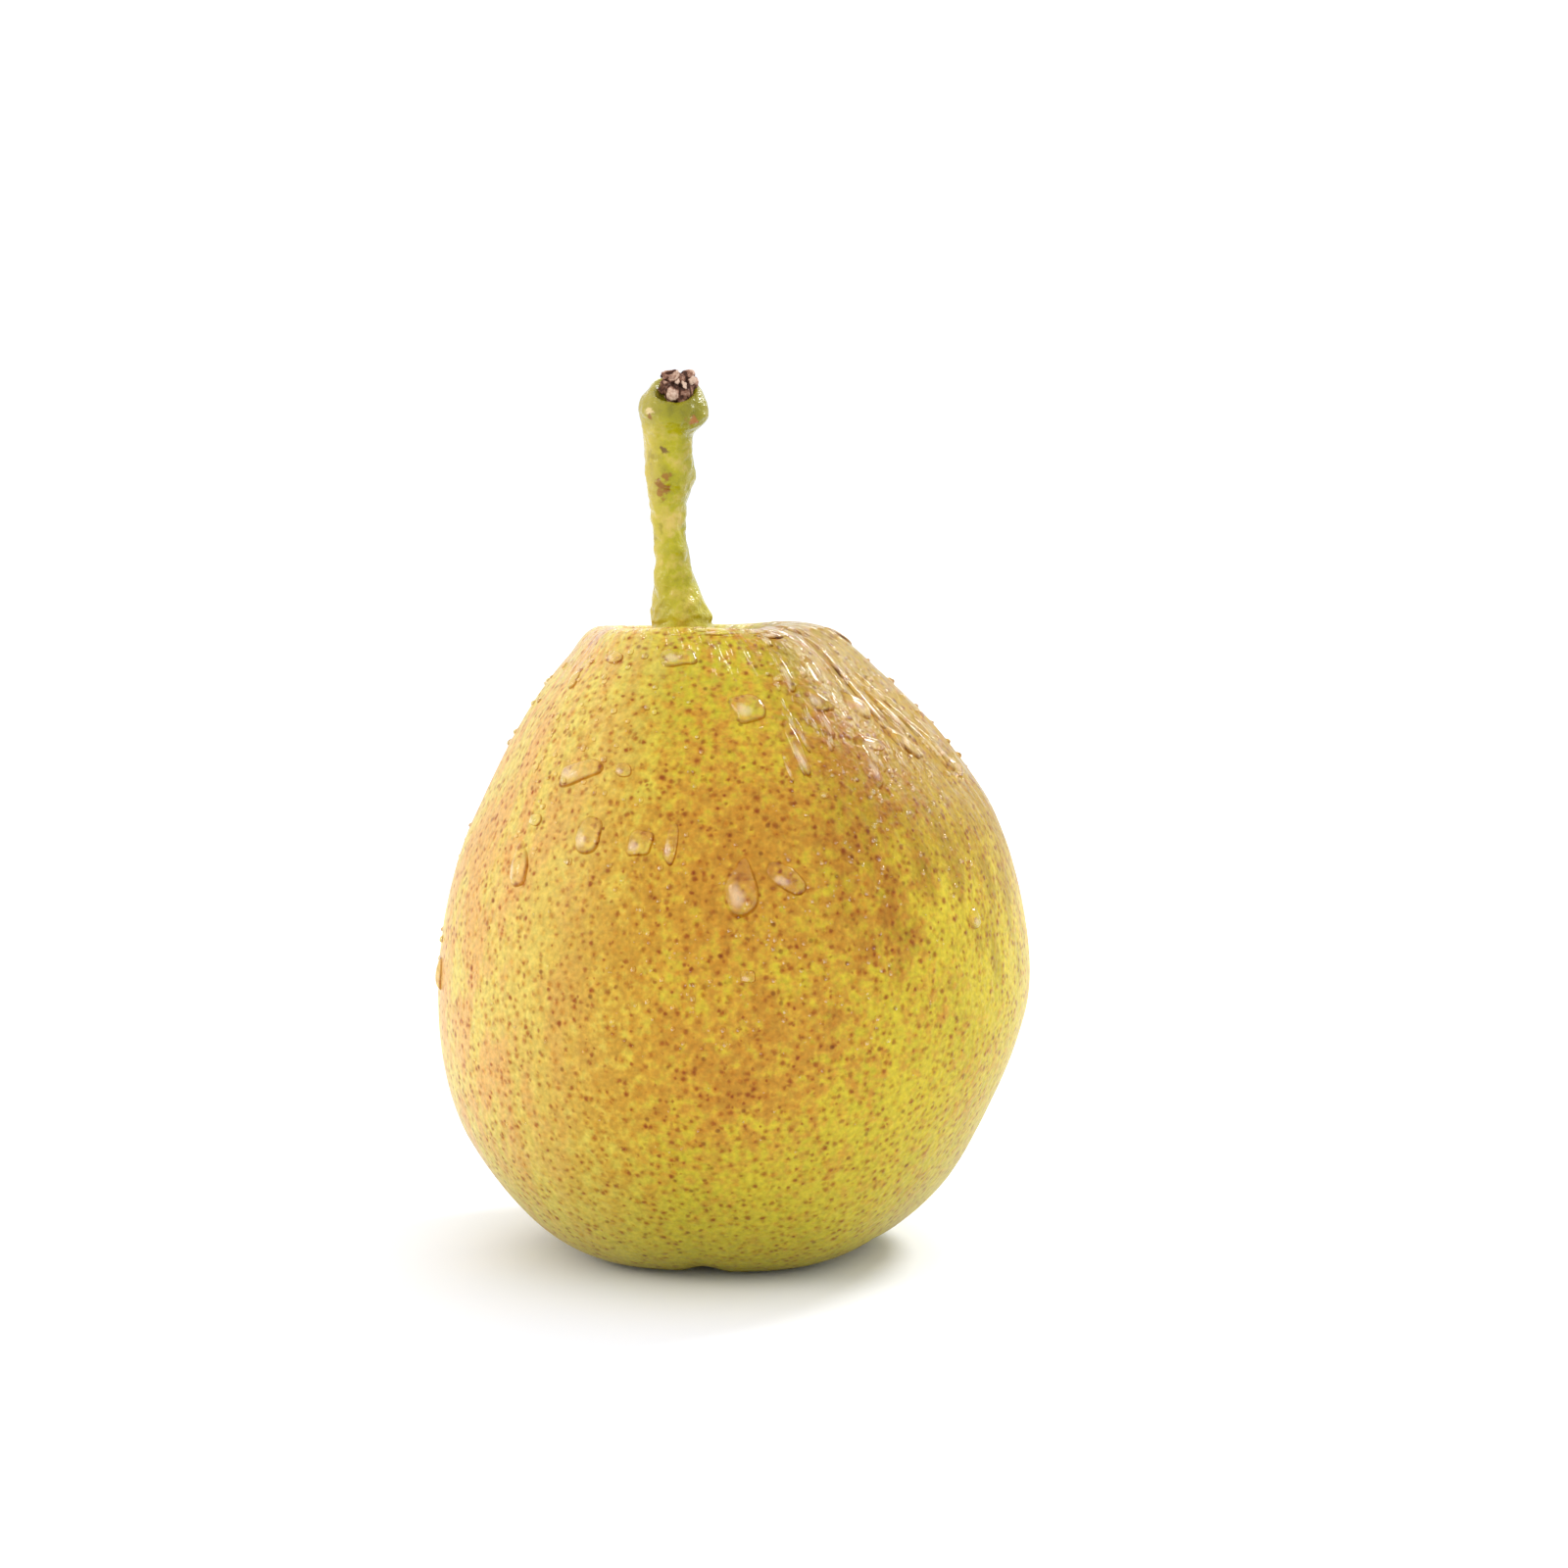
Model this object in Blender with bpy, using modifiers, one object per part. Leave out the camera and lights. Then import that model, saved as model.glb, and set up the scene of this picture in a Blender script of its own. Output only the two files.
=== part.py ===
# A small round fragrant pear, standing on its eye end.
# Metres, +Z up. The front of the pear faces -Y and the origin is under its middle, on the ground.
import math

import bmesh
import bpy
from mathutils import Euler, Vector
from mathutils.geometry import interpolate_bezier

MM = 0.001

# Body: one grown solid, skin and flesh together
BODY_WIDTH = 62.0 * MM          # across the widest ring
BODY_HEIGHT = 65.8 * MM         # foot to the rim round the stem hollow
WIDEST_HEIGHT = 28.8 * MM
SHOULDER_RADIUS = 14.6 * MM     # where the side turns in to the top
SHOULDER_HEIGHT = 63.2 * MM
RIM_RADIUS = 9.8 * MM           # crest round the stem hollow
HOLLOW_DEPTH = 4.6 * MM         # of the stem hollow, below its rim
HOLLOW_RADIUS = 4.2 * MM        # of its floor, round the stem's foot
FOOT_INNER_RADIUS = 8.2 * MM    # the flat ring that the pear stands on
FOOT_OUTER_RADIUS = 11.2 * MM
FOOT_FULLNESS = 0.57            # how far the side swings out from the foot before it rises
BELLY_FULLNESS = 0.45           # and how far below the widest ring it is still upright
EYE_DEPTH = 5.2 * MM            # of the eye basin, above the ground
BODY_SIDES = 60

# How it grew out of true
TOP_LEAN = 2.3 * MM             # the shoulders sit to the left of the belly
TOP_LEAN_START = 43.0 * MM
TOP_LEAN_END = 64.0 * MM
LOW_LEAN = 1.6 * MM             # and so does the part under it
LOW_LEAN_START = 30.0 * MM
LOW_LEAN_END = 12.0 * MM
RIM_SHIFT = 2.7 * MM            # the stem hollow sits further left again
RIM_SHIFT_RINGS = 7             # rings of the mesh, about the rim, over which it shifts
RIM_TILT = 0.5 * MM             # its front rim stands higher than its back
LOBES = 5
LOBE_SWELL = 0.5 * MM           # the five lobes, felt at the shoulder and at the foot
GROOVE_TURN = math.radians(-96.0)
GROOVE_HALF_WIDTH = math.radians(12.0)
GROOVE_DEPTH = 0.6 * MM         # grooves between the lobes, across the foot

# Stem, its dry end and the dried flower at the other end
STEM_GAP = 0.3 * MM             # left between pieces that touch
STEM_FOOT_RADIUS = 3.5 * MM
STEM_TOP_HEIGHT = 89.4 * MM
STEM_HANDLE = 1.0 * MM          # of its route's points, straight up
TIP_RADIUS = 2.3 * MM
TIP_HEIGHT = 2.6 * MM
TIP_TILT = math.radians(10.0)   # its broken face leans to the front
CALYX_RADIUS = 2.6 * MM
CALYX_HEIGHT = 2.0 * MM
CALYX_WALL = 0.7 * MM
SEPALS = 5
SEPAL_LENGTH = 2.4 * MM
SEPAL_WIDTH = 1.9 * MM
SEPAL_THICKNESS = 0.45 * MM
SEPAL_TAPER = 0.85              # share of its width lost at the point
SEPAL_CURL = 0.43 * MM
SEPAL_DROOP = math.radians(28.0)


def clear_scene():
    for old in list(bpy.data.objects):
        bpy.data.objects.remove(old, do_unlink=True)


def make_material(name, colour, roughness):
    material = bpy.data.materials.new(name)
    material.use_nodes = True
    shader = material.node_tree.nodes["Principled BSDF"]
    shader.inputs["Base Color"].default_value = (*colour, 1.0)
    shader.inputs["Roughness"].default_value = roughness
    shader.inputs["Metallic"].default_value = 0.0
    material.diffuse_color = (*colour, 1.0)
    return material


def add_part(name, data, material, parent):
    part = bpy.data.objects.new(name, data)
    part.data.materials.append(material)
    part.parent = parent
    bpy.data.collections["pear"].objects.link(part)
    return part


def ease(share):
    """Goes smoothly from 0 to 1 as share does, and stays there."""
    share = min(max(share, 0.0), 1.0)
    return share * share * (3.0 - 2.0 * share)


def angle_between(first, second):
    return abs((first - second + math.pi) % (2.0 * math.pi) - math.pi)


def body_profile():
    """Rings as (radius, height): out of the eye, over the foot, up the side, into the stem hollow."""
    half = BODY_WIDTH / 2
    rise = SHOULDER_HEIGHT - WIDEST_HEIGHT
    floor = BODY_HEIGHT - HOLLOW_DEPTH
    low_pull = FOOT_FULLNESS * (half - FOOT_OUTER_RADIUS)
    shoulder_pull = Vector((0.99, -1.0)) * (0.35 * rise)
    knots = (
        # ring, pull before it, pull after it, rings up to the next knot
        ((0.0, EYE_DEPTH), (0.0, 0.0), (4.6 * MM, 0.0), 6),
        ((FOOT_INNER_RADIUS, 0.0), (-2.2 * MM, 0.0), (0.5 * MM, 0.0), 1),
        ((FOOT_OUTER_RADIUS, 0.0), (-0.5 * MM, 0.0), (low_pull, 0.0), 9),
        ((half, WIDEST_HEIGHT), (0.0, -BELLY_FULLNESS * WIDEST_HEIGHT), (0.0, rise / 3), 9),
        ((SHOULDER_RADIUS, SHOULDER_HEIGHT), shoulder_pull, (-1.6 * MM, 1.7 * MM), 3),
        ((RIM_RADIUS, BODY_HEIGHT), (2.0 * MM, 0.0), (-2.6 * MM, 0.0), 5),
        ((HOLLOW_RADIUS, floor), (1.6 * MM, 0.0), (-0.5 * MM, 0.0), 2),
        ((0.0, floor), (0.5 * MM, 0.0), (0.0, 0.0), 0),
    )
    rings = []
    for (knot, _, pull_out, steps), (following, pull_in, _, _) in zip(knots, knots[1:]):
        start = Vector(knot)
        end = Vector(following)
        curve = interpolate_bezier(start, start + Vector(pull_out), end + Vector(pull_in), end, steps + 1)
        rings += [(point.x, point.y) for point in curve[:-1]]
    rings.append((0.0, floor))
    return rings


def grown(radius, height, turn, inside_rim):
    """Moves a point of the true turned shape to where the pear grew it."""
    lean = TOP_LEAN * ease((height - TOP_LEAN_START) / (TOP_LEAN_END - TOP_LEAN_START))
    lean += LOW_LEAN * ease((height - LOW_LEAN_START) / (LOW_LEAN_END - LOW_LEAN_START))
    lean += RIM_SHIFT * inside_rim
    near_end = ease(abs(height - WIDEST_HEIGHT) / WIDEST_HEIGHT)
    reach = ease(radius / FOOT_OUTER_RADIUS)
    swell = LOBE_SWELL * near_end * reach * -math.cos(LOBES * (turn - GROOVE_TURN))
    radius += swell
    if height > WIDEST_HEIGHT:
        height += RIM_TILT * near_end * reach * -math.sin(turn)
    else:
        spacing = 2.0 * math.pi / LOBES
        off_groove = min(angle_between(turn, GROOVE_TURN + k * spacing) for k in range(LOBES))
        on_foot = ease(1.0 - abs(radius - FOOT_OUTER_RADIUS) / FOOT_OUTER_RADIUS)
        height += GROOVE_DEPTH * ease(1.0 - off_groove / GROOVE_HALF_WIDTH) * on_foot
    return Vector((radius * math.cos(turn) - lean, radius * math.sin(turn), height))


def make_body(material, parent):
    rings = body_profile()
    last = len(rings) - 1
    rim = max(range(len(rings)), key=lambda ring: rings[ring][1])
    model = bmesh.new()
    bmesh.ops.create_uvsphere(model, u_segments=BODY_SIDES, v_segments=last, radius=1.0)
    for vert in model.verts:
        climb = math.acos(max(-1.0, min(1.0, -vert.co.z))) / math.pi
        ring = round(climb * last)
        turn = math.atan2(vert.co.y, vert.co.x)
        radius, height = rings[ring]
        inside_rim = ease((ring - rim + RIM_SHIFT_RINGS / 2) / RIM_SHIFT_RINGS)
        vert.co = grown(radius, height, turn, inside_rim)
    mesh = bpy.data.meshes.new("pear_body")
    model.to_mesh(mesh)
    model.free()
    mesh.shade_smooth()
    return add_part("pear_body", mesh, material, parent)


def stem_route():
    """The stem's middle line and thickness, from its foot to its swollen head."""
    foot = BODY_HEIGHT - HOLLOW_DEPTH + 2 * STEM_GAP
    length = STEM_TOP_HEIGHT - foot
    return (
        # height, sideways, thickness over the foot's
        (foot, -4.8 * MM, 0.96),
        (foot + 0.14 * length, -5.3 * MM, 0.90),
        (foot + 0.26 * length, -6.0 * MM, 0.70),
        (foot + 0.50 * length, -7.0 * MM, 0.50),
        (foot + 0.69 * length, -6.6 * MM, 0.71),
        (foot + 0.84 * length, -6.9 * MM, 0.68),
        (foot + 0.93 * length, -6.4 * MM, 1.0),
        (foot + 0.97 * length, -6.2 * MM, 0.98),
        (STEM_TOP_HEIGHT, -6.2 * MM, 0.76),
    )


def make_stem(material, parent):
    curve = bpy.data.curves.new("stem", "CURVE")
    curve.dimensions = "3D"
    curve.bevel_depth = STEM_FOOT_RADIUS
    curve.bevel_resolution = 5
    curve.use_fill_caps = True
    curve.resolution_u = 4
    route = stem_route()
    spline = curve.splines.new("BEZIER")
    spline.bezier_points.add(len(route) - 1)
    for point, (height, sideways, thickness) in zip(spline.bezier_points, route):
        point.co = (sideways, 0.0, height)
        point.radius = thickness
        upward = Vector((0.0, 0.0, STEM_HANDLE))
        point.handle_left = point.co - upward
        point.handle_right = point.co + upward
    return add_part("stem", curve, material, parent)


def make_stem_tip(material, parent):
    """A rough knob of dead cork, uneven round its edge and on its broken face."""
    model = bmesh.new()
    bmesh.ops.create_uvsphere(model, u_segments=20, v_segments=10, radius=1.0)
    for vert in model.verts:
        turn = math.atan2(vert.co.y, vert.co.x)
        ragged = 1.0 + 0.07 * math.cos(3 * turn) + 0.05 * math.cos(7 * turn + 1.0)
        up = math.copysign(abs(vert.co.z) ** 0.6, vert.co.z)
        out = TIP_RADIUS * ragged * (1.0 - 0.18 * ease(up))
        vert.co = Vector((vert.co.x * out, vert.co.y * out, up * TIP_HEIGHT / 2))
        vert.co.rotate(Euler((TIP_TILT, 0.0, 0.0)))
    lowest = min(vert.co.z for vert in model.verts)
    mesh = bpy.data.meshes.new("stem_tip")
    model.to_mesh(mesh)
    model.free()
    mesh.shade_smooth()
    tip = add_part("stem_tip", mesh, material, parent)
    tip.location = (stem_route()[-1][1], 0.0, STEM_TOP_HEIGHT + STEM_GAP - lowest)
    return tip


def make_calyx(material, parent):
    """The dried flower cup, mouth down: a turned outline, from the axis round the wall and back."""
    inner = CALYX_RADIUS - CALYX_WALL
    outline = (
        (0.0, CALYX_HEIGHT),
        (0.6 * CALYX_RADIUS, CALYX_HEIGHT),
        (CALYX_RADIUS, 0.5 * CALYX_HEIGHT),
        (0.92 * CALYX_RADIUS, 0.0),
        (inner, 0.0),
        (0.8 * inner, 0.5 * CALYX_HEIGHT),
        (0.0, 0.6 * CALYX_HEIGHT),
    )
    mesh = bpy.data.meshes.new("calyx")
    points = [(radius, 0.0, height) for radius, height in outline]
    mesh.from_pydata(points, [(k, k + 1) for k in range(len(points) - 1)], [])
    calyx = add_part("calyx", mesh, material, parent)
    calyx.location = (-LOW_LEAN, 0.0, EYE_DEPTH - STEM_GAP - CALYX_HEIGHT)
    screw = calyx.modifiers.new("Turn", "SCREW")
    screw.steps = 24
    screw.render_steps = 24
    screw.use_merge_vertices = True
    screw.merge_threshold = 0.00001
    screw.use_smooth_shade = True
    return calyx


def make_sepal(number, material, parent):
    """One dried sepal: a pointed blade, thickened, hanging out and down from the cup's edge."""
    model = bmesh.new()
    bmesh.ops.create_grid(model, x_segments=6, y_segments=2, size=0.5)
    for vert in model.verts:
        along = vert.co.x + 0.5
        width = SEPAL_WIDTH * (1.0 - SEPAL_TAPER * ease(along))
        curl = -SEPAL_CURL * along * along
        vert.co = Vector((along * SEPAL_LENGTH, vert.co.y * width, curl))
    mesh = bpy.data.meshes.new("sepal")
    model.to_mesh(mesh)
    model.free()
    sepal = add_part("sepal_%d" % number, mesh, material, parent)
    turn = GROOVE_TURN + (number - 0.5) * 2.0 * math.pi / SEPALS
    start = CALYX_RADIUS + STEM_GAP
    mouth = EYE_DEPTH - STEM_GAP - CALYX_HEIGHT
    sepal.location = (start * math.cos(turn) - LOW_LEAN, start * math.sin(turn), mouth + 0.2 * MM)
    sepal.rotation_euler = (0.0, SEPAL_DROOP, turn)
    thick = sepal.modifiers.new("Thick", "SOLIDIFY")
    thick.thickness = SEPAL_THICKNESS
    thick.offset = 0.0
    return sepal


def main():
    clear_scene()
    collection = bpy.data.collections.new("pear")
    bpy.context.scene.collection.children.link(collection)
    ground = bpy.data.objects.new("pear", None)
    collection.objects.link(ground)

    skin = make_material("ripe skin", (0.64, 0.36, 0.06), 0.38)
    green = make_material("fleshy stem", (0.45, 0.43, 0.05), 0.45)
    cork = make_material("dry cork", (0.17, 0.09, 0.06), 0.85)
    dried = make_material("dried flower", (0.05, 0.03, 0.02), 0.9)

    body = make_body(skin, ground)
    make_stem(green, ground)
    make_stem_tip(cork, ground)
    make_calyx(dried, ground)
    for number in range(1, SEPALS + 1):
        make_sepal(number, dried, ground)

    # The origin goes under the middle of the body's box
    corners = [Vector(corner) for corner in body.bound_box]
    low = Vector([min(corner[axis] for corner in corners) for axis in range(3)])
    high = Vector([max(corner[axis] for corner in corners) for axis in range(3)])
    ground.location = (-(low.x + high.x) / 2, -(low.y + high.y) / 2, -low.z)


main()
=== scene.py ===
# A small round fragrant pear, just rinsed, standing on a pale studio table.
# The front faces -Y. Lengths in the dictionaries are millimetres and angles are degrees.
import math
import random

import bmesh
import bpy
from mathutils import Euler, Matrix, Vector, noise
from mathutils.geometry import interpolate_bezier


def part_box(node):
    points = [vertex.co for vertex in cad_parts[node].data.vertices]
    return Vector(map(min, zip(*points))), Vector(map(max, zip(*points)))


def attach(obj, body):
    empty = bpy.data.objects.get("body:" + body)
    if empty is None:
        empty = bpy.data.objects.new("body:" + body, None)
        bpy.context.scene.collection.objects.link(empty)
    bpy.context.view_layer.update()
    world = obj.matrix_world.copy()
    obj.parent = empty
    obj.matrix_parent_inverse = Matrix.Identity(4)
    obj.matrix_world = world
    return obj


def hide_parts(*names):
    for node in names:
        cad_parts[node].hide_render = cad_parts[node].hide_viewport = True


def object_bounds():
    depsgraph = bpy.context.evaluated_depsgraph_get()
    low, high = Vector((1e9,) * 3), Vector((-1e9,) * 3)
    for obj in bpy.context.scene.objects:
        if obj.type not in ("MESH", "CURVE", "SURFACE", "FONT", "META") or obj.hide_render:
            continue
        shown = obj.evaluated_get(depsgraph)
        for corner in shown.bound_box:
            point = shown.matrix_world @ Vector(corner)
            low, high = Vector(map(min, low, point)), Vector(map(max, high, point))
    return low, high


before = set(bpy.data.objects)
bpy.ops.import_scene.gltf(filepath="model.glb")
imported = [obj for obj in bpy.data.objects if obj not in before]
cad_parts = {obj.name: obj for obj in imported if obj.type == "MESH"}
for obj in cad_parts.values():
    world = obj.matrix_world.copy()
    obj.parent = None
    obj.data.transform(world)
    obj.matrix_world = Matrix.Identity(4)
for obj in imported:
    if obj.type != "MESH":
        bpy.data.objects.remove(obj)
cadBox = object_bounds()
mm = 0.001


def ease(share):
    # 0 to 1 with a soft start and a soft end
    share = min(max(share, 0.0), 1.0)
    return share * share * (3.0 - 2.0 * share)


def hexColour(code):
    # sRGB hex to linear
    parts = [int(code[k:k + 2], 16) / 255 for k in (1, 3, 5)]
    linear = [((p + 0.055) / 1.055) ** 2.4 if p > 0.04045 else p / 12.92 for p in parts]
    return (*linear, 1.0)


def feed(tree, node, links):
    # what feeds an input is a socket, or a node that stands for its main output
    for name, source in links.items():
        if isinstance(source, bpy.types.Node):
            source = source.outputs[2 if source.bl_idname == "ShaderNodeMix" else 0]
        tree.links.new(source, node.inputs[name])


def addNode(tree, kind, settings=None, links=None):
    # settings are properties, ramp stops, a range, a pattern's size or input values
    node = tree.nodes.new("ShaderNode" + kind)
    if kind == "Mix":
        node.data_type = "RGBA"    # its inputs 0, 6 and 7 are the share and the two colours
    for name, value in (settings or {}).items():
        if name == "stops":
            ramp = node.color_ramp.elements
            while len(ramp) < len(value):
                ramp.new(0.5)
            for stop, (place, colour) in zip(ramp, value):
                stop.position = place
                stop.color = hexColour(colour)
        elif name in ("range", "smooth"):
            # low and high end, and what they turn into (0 and 1 if left out)
            node.interpolation_type = "SMOOTHSTEP" if name == "smooth" else "LINEAR"
            for socket, number in zip(("From Min", "From Max", "To Min", "To Max"), value):
                node.inputs[socket].default_value = number
        elif name == "size":
            node.inputs["Scale"].default_value = 1 / (value * mm)    # of one lump or cell
        elif isinstance(name, str) and hasattr(node, name):
            setattr(node, name, value)
        else:
            node.inputs[name].default_value = hexColour(value) if isinstance(value, str) else value
    feed(tree, node, links or {})
    return node


def newMaterial(name, finish):
    # finish is what is the same all over, so it stands on the shader's own sockets
    material = bpy.data.materials.new(name)
    material.use_nodes = True
    tree = material.node_tree
    shader = tree.nodes["Principled BSDF"]
    for socket, value in finish.items():
        shader.inputs[socket].default_value = value
    return material, tree, shader


def newMesh(name, model):
    mesh = bpy.data.meshes.new(name)
    model.to_mesh(mesh)
    model.free()
    return mesh


def wrapRings(model, rings):
    # faces from each ring of verts to the next; a ring of one vert is a pole
    sides = max(len(ring) for ring in rings)
    for lower, upper in zip(rings, rings[1:]):
        for side in range(sides):
            after = (side + 1) % sides
            corners = (lower[side % len(lower)], lower[after % len(lower)],
                       upper[after % len(upper)], upper[side % len(upper)])
            model.faces.new(tuple(dict.fromkeys(corners)))


def newObject(name, data):
    thing = bpy.data.objects.new(name, data)
    bpy.context.scene.collection.objects.link(thing)
    return thing


def addPiece(name, mesh, material, nodes):
    piece = newObject(name, mesh)
    mesh.materials.append(material)
    mesh.shade_smooth()
    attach(piece, "root")
    if nodes:
        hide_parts(*nodes)
    return piece


# ---- camera, table and light ----
studio = {
    "cameraDistance": 520,
    "cameraRise": 8.5,          # looking slightly down on the pear
    "viewWidth": 164,           # what the frame takes in at the pear
    "aimRight": 5.2,
    "aimHeight": 0.5325,        # share of the pear's height
    "clipStart": 10,
    "tableReach": 3000,         # from the middle to each edge
    "tableGap": 0.02,           # a hair under the pear, so the two don't share a face
    "tableColours": ((0.3, "#f3f7ff"), (0.7, "#f5f8ff")),
    "tableGrain": 2,
    "skyColour": "#ffffff",
    "skyStrength": 1.13,
    "lights": (
        # name, place, width, height, watts, colour
        ("keySoftbox", (-560, -200, 300), 260, 260, 0.95, "#fff8f0"),
        ("topSoftbox", (300, 230, 400), 150, 150, 1.7, "#ffffff"),
        ("rimStrip", (40, 560, 300), 560, 90, 0.6, "#ffffff"),
    ),
}


def aimAt(thing, target):
    thing.rotation_euler = (target - thing.location).to_track_quat("-Z", "Y").to_euler()


def buildStudio():
    scene = bpy.context.scene
    low, high = cadBox
    middle = (low + high) / 2
    rise = math.radians(studio["cameraRise"])
    away = studio["cameraDistance"] * mm
    aim = Vector((middle.x + studio["aimRight"] * mm, middle.y,
                  low.z + studio["aimHeight"] * (high.z - low.z)))
    camera = newObject("camera", bpy.data.cameras.new("camera"))
    camera.location = aim + away * Vector((0.0, -math.cos(rise), math.sin(rise)))
    aimAt(camera, aim)
    camera.data.lens = camera.data.sensor_width * studio["cameraDistance"] / studio["viewWidth"]
    camera.data.clip_start = studio["clipStart"] * mm
    scene.camera = camera

    for name, place, width, height, watts, colour in studio["lights"]:
        lamp = bpy.data.lights.new(name, "AREA")
        lamp.shape = "ELLIPSE"
        lamp.size = width * mm
        lamp.size_y = height * mm
        lamp.energy = watts
        lamp.color = hexColour(colour)[:3]
        holder = newObject(name, lamp)
        holder.location = Vector(place) * mm
        aimAt(holder, middle)

    world = bpy.data.worlds.new("studio")
    world.use_nodes = True
    sky = world.node_tree.nodes["Background"]
    sky.inputs["Color"].default_value = hexColour(studio["skyColour"])
    sky.inputs["Strength"].default_value = studio["skyStrength"]
    scene.world = world
    scene.view_settings.view_transform = "Standard"

    model = bmesh.new()
    bmesh.ops.create_grid(model, x_segments=1, y_segments=1, size=studio["tableReach"] * mm)
    table = newObject("table", newMesh("table", model))
    table.location.z = low.z - studio["tableGap"] * mm
    # matt white laminate: no shine, so the shadow stays soft
    material, tree, shader = newMaterial("matt white laminate",
                                         {"Roughness": 0.9, "Specular IOR Level": 0.0})
    grain = addNode(tree, "TexNoise", {"size": studio["tableGrain"], "Detail": 2.0})
    tone = addNode(tree, "ValToRGB", {"stops": studio["tableColours"]}, {"Fac": grain})
    feed(tree, shader, {"Base Color": tone})
    table.data.materials.append(material)


# ---- the body's shape ----
pear = {
    "widestHeight": 28.8,
    "shoulderRadius": 14.6,
    "shoulderHeight": 63.2,
    "rimRadius": 9.8,
    "rimHeight": 65.8,
    "hollowDepth": 4.6,
    "hollowRadius": 4.2,
    "footInner": 8.2,
    "footOuter": 11.2,
    "eyeDepth": 5.2,
    "topLean": (2.3, 46.0, 64.5),      # how far left, and between which heights it comes in
    "lowLean": (1.6, 30.0, 12.0),
    "rimShift": (2.7, 7.0, 6.0),       # how far left, and how much skin before and after the rim
    "rimTilt": 1.0,                    # higher in front and lower behind by this
    "lobes": 5,
    "lobeSwell": 0.5,
    "grooveTurn": -96.0,
    "grooveHalfWidth": 12.0,
    "grooveDepth": 0.6,
    "upperPart": (46.0, 60.0),         # the next three come in between these heights
    "ridge": (-52.0, 27.5, 0.7),       # a crest down the front right shoulder: turn, reach, rise
    "valley": (-20.0, 24.06, -1.1),    # and the hollow place behind it
    "backLobe": (30.0, 52.0, 0.6),     # the back rim stands highest here
    "waves": ((11.0, 0.16), (3.2, 0.035)),   # unevenness of the skin: how long, how high
    "calm": 6.0,                       # which dies down this near the ground and the middle
    "growthRadius": 31.0,              # the girth that streaks and blush are measured on
    "profileSteps": 80,
    "sides": 320,
    "step": 0.42,                      # between rings of the mesh
}


def pearProfile():
    # (distance along the skin, radius, height) from the eye to the floor of the stem hollow
    half = (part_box("pear_body")[1].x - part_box("pear_body")[0].x) / 2 / mm
    rise = pear["shoulderHeight"] - pear["widestHeight"]
    floor = pear["rimHeight"] - pear["hollowDepth"]
    reach = half - pear["footOuter"]
    knots = (
        # ring (radius, height), pull before it, pull after it
        ((0, pear["eyeDepth"]), (0, 0), (4.6, 0)),
        ((pear["footInner"], 0), (-2.2, 0), (0.5, 0)),
        ((pear["footOuter"], 0), (-0.5, 0), (0.57 * reach, 0)),
        ((half, pear["widestHeight"]), (0, -0.45 * pear["widestHeight"]), (0, rise / 3)),
        ((pear["shoulderRadius"], pear["shoulderHeight"]), (0.347 * rise, -0.35 * rise),
         (-1.6, 1.7)),
        ((pear["rimRadius"], pear["rimHeight"]), (2.0, 0), (-2.6, 0)),
        ((pear["hollowRadius"], floor), (1.6, 0), (-0.5, 0)),
        ((0, floor), (0.5, 0), (0, 0)),
    )
    points = [Vector(knots[0][0])]
    for (knot, _, out), (following, into, _) in zip(knots, knots[1:]):
        start = Vector(knot)
        end = Vector(following)
        points += interpolate_bezier(start, start + Vector(out), end + Vector(into), end,
                                     pear["profileSteps"])[1:]
    arcs = [0.0]
    for here, there in zip(points, points[1:]):
        arcs.append(arcs[-1] + (there - here).length)
    return [(arc, point.x, point.y) for arc, point in zip(arcs, points)]


profile = pearProfile()
skinLength = profile[-1][0]
rimArc = max(profile, key=lambda row: row[2])[0]


def profileAt(arc):
    # radius and height at a distance along the skin
    arc = min(max(arc, 0.0), skinLength)
    low, high = 0, len(profile) - 1
    while high - low > 1:
        middle = (low + high) // 2
        if profile[middle][0] <= arc:
            low = middle
        else:
            high = middle
    start, end = profile[low], profile[high]
    share = (arc - start[0]) / (end[0] - start[0])
    return start[1] + share * (end[1] - start[1]), start[2] + share * (end[2] - start[2])


def turnGap(first, second):
    return abs((first - second + math.pi) % (2 * math.pi) - math.pi)


def swellAt(turn, place):
    # how far the skin swells at a turn, for a place given as turn, reach and rise
    middle, reach, rise = place
    return rise * ease(1 - turnGap(turn, math.radians(middle)) / math.radians(reach))


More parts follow.
